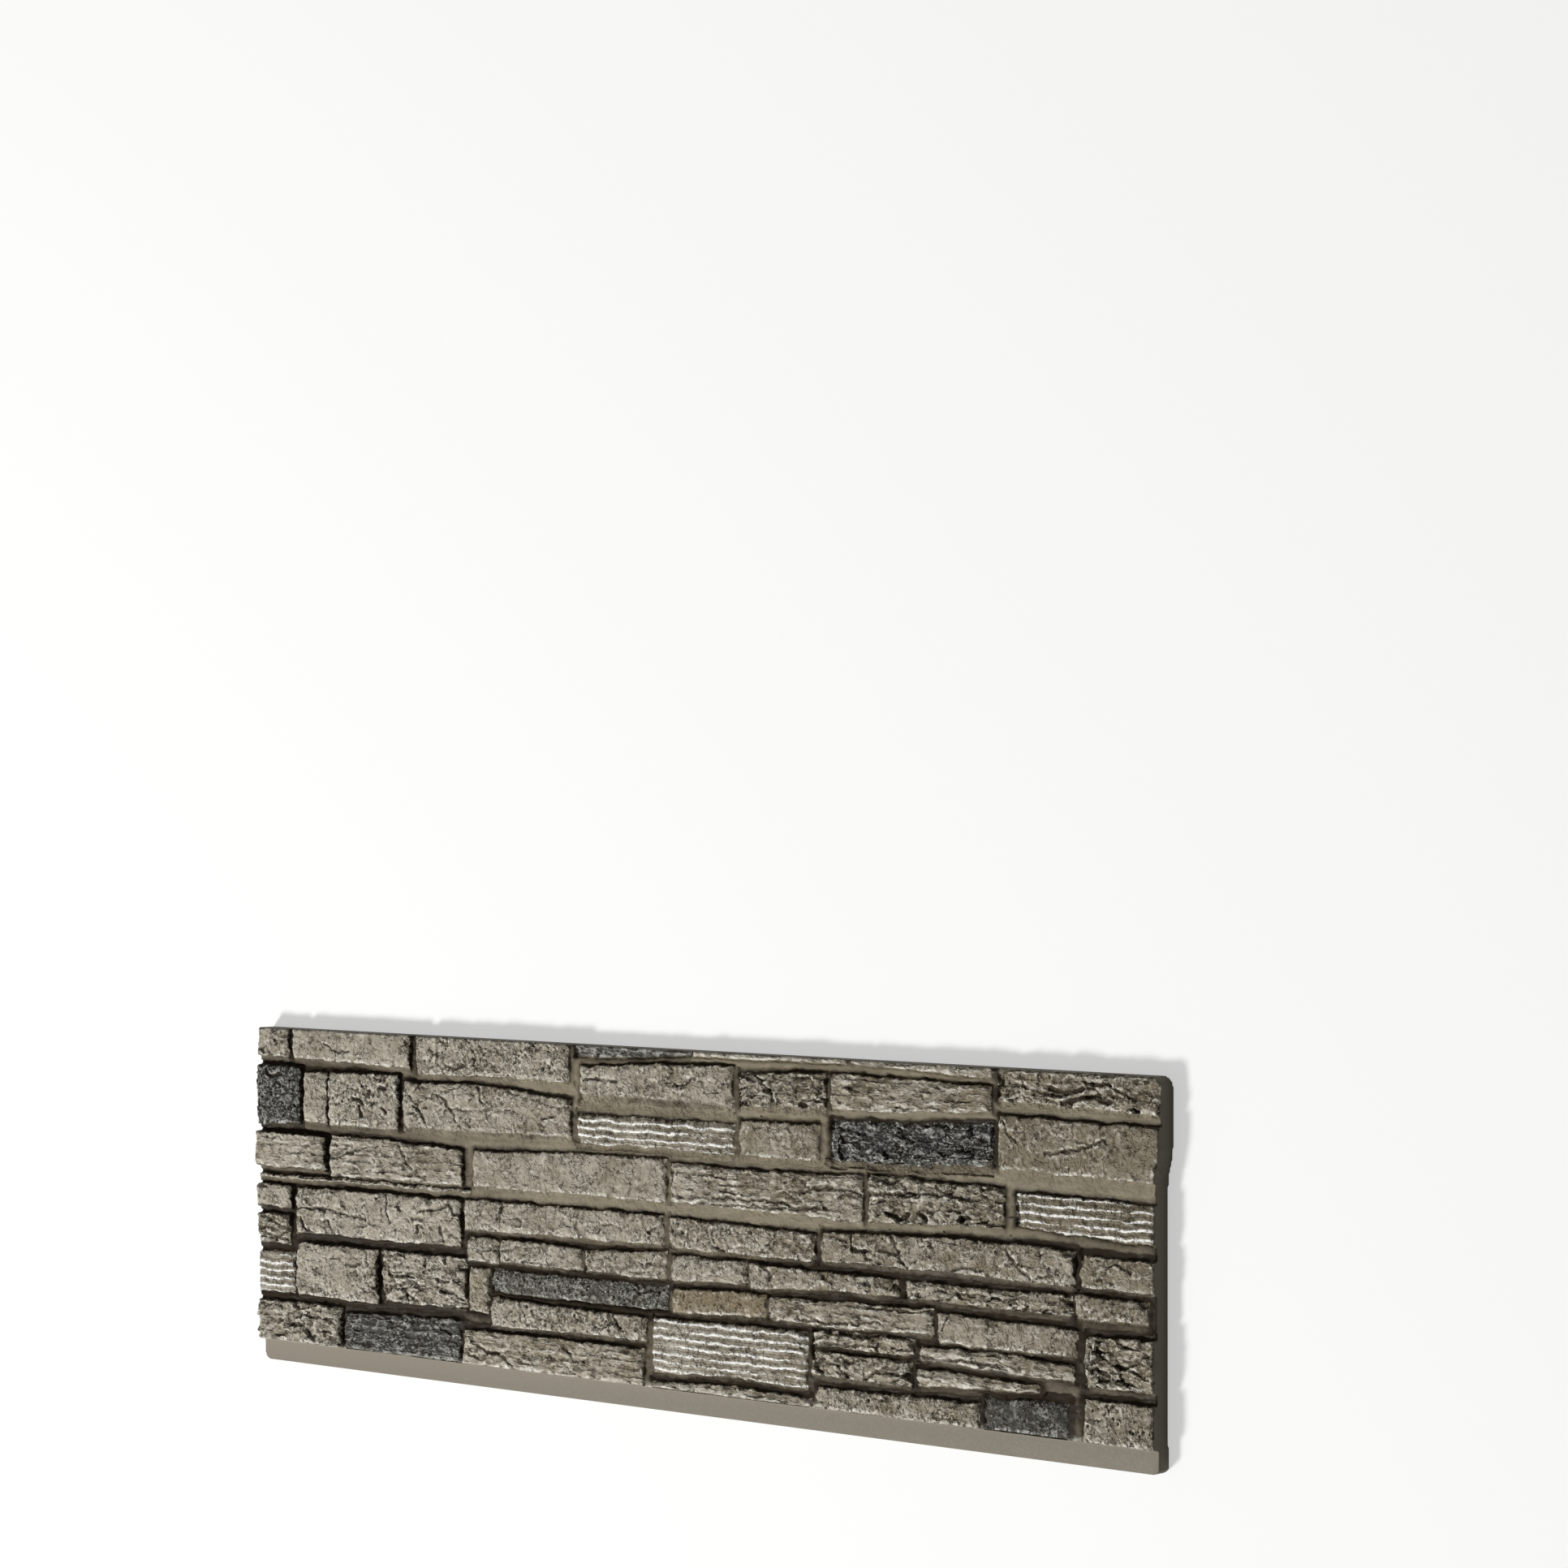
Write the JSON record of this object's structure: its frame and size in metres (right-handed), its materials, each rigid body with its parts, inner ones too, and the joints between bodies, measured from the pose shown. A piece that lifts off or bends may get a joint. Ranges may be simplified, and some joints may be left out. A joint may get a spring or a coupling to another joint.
{
  "type": "faux stone wall panel",
  "caption": "Moulded faux stone wall panel with staggered ledge stones in relief, a flat back and a plain fixing lip along the lower edge.",
  "frame": {"origin": "under the middle of the overall box, on the flat back face", "axes": "+X along the panel to the stepped end, +Y up the wall that it covers, +Z out of the stone face; it is stored lying on its back"},
  "size_m": [1.085, 0.32, 0.0246],
  "materials": {
    "coloured_polyurethane": "moulded stone texture, painted taupe with dark brown-grey grooves, charcoal stones and pale veins"
  },
  "bodies": {
    "root": {"wall_panel": "coloured_polyurethane"}
  },
  "joints": []
}
